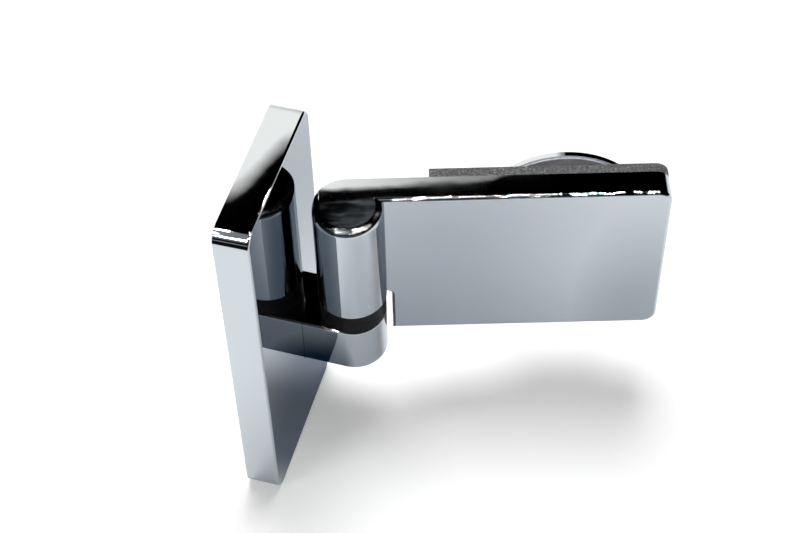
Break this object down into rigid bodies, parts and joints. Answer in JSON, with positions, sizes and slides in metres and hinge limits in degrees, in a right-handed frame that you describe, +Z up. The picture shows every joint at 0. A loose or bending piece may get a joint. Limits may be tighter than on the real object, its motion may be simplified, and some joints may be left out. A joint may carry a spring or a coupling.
{
  "type": "glass door hinge",
  "caption": "Rise-and-fall glass-to-wall door hinge: covered wall plate with an arm, two helicoid cams, a knuckle with a flat leaf, and a gasket and flush clamping disc for the glass.",
  "frame": {"origin": "centre of the wall plate's back, on the wall, at mid height and mid width of the plate", "axes": "+X out of the wall, +Y towards the side that the clamping disc is on, +Z up along the hinge axis"},
  "size_m": [0.0865, 0.0696, 0.0936],
  "materials": {
    "chrome": "mirror-bright chrome plate on brass",
    "zinc_steel": "zinc-plated steel plate",
    "steel_screw": "stainless screws with hexagon sockets",
    "pin_steel": "ground stainless steel",
    "brass": "turned brass, left bare",
    "black_plastic": "black acetal, satin",
    "white_plastic": "natural acetal, satin",
    "clear_pad": "milky clear sheet, smooth",
    "gasket_rubber": "dark grey fibre-filled rubber, cut edge speckled",
    "chrome_screw": "chrome-plated screws with hexagon sockets"
  },
  "bodies": {
    "wall_side": {"wall_cover": "chrome", "base_plate": "zinc_steel", "cover_screws": "steel_screw", "arm": "chrome", "arm_screws": "steel_screw", "bearing_sleeve": "brass", "zero_screw": "steel_screw", "lower_cam": "black_plastic", "arm_cap": "black_plastic"},
    "spindle": {"pivot_pin": "pin_steel", "thrust_washer": "white_plastic", "retaining_washer": "pin_steel", "retaining_screw": "steel_screw"},
    "leaf_side": {"leaf": "chrome", "guide_bush": "brass", "upper_cam": "black_plastic", "glass_gasket": "gasket_rubber", "glass_bush": "white_plastic", "disc_pad": "clear_pad", "clamp_disc": "chrome", "clamp_screws": "chrome_screw"}
  },
  "joints": [
    {"name": "leaf_swing", "type": "hinge", "parent": "wall_side", "child": "spindle", "pos_m": [0.0183, 0.0121, 0], "axis": [0, 0, -1], "range_deg": [0, 107]},
    {"name": "leaf_lift", "type": "slide", "parent": "spindle", "child": "leaf_side", "axis": [0, 0, 1], "range_m": [0, 0.00369]}
  ],
  "couplings": [
    {"joint": "leaf_lift", "follows": "leaf_swing", "m_per_rad": 0.001971}
  ]
}
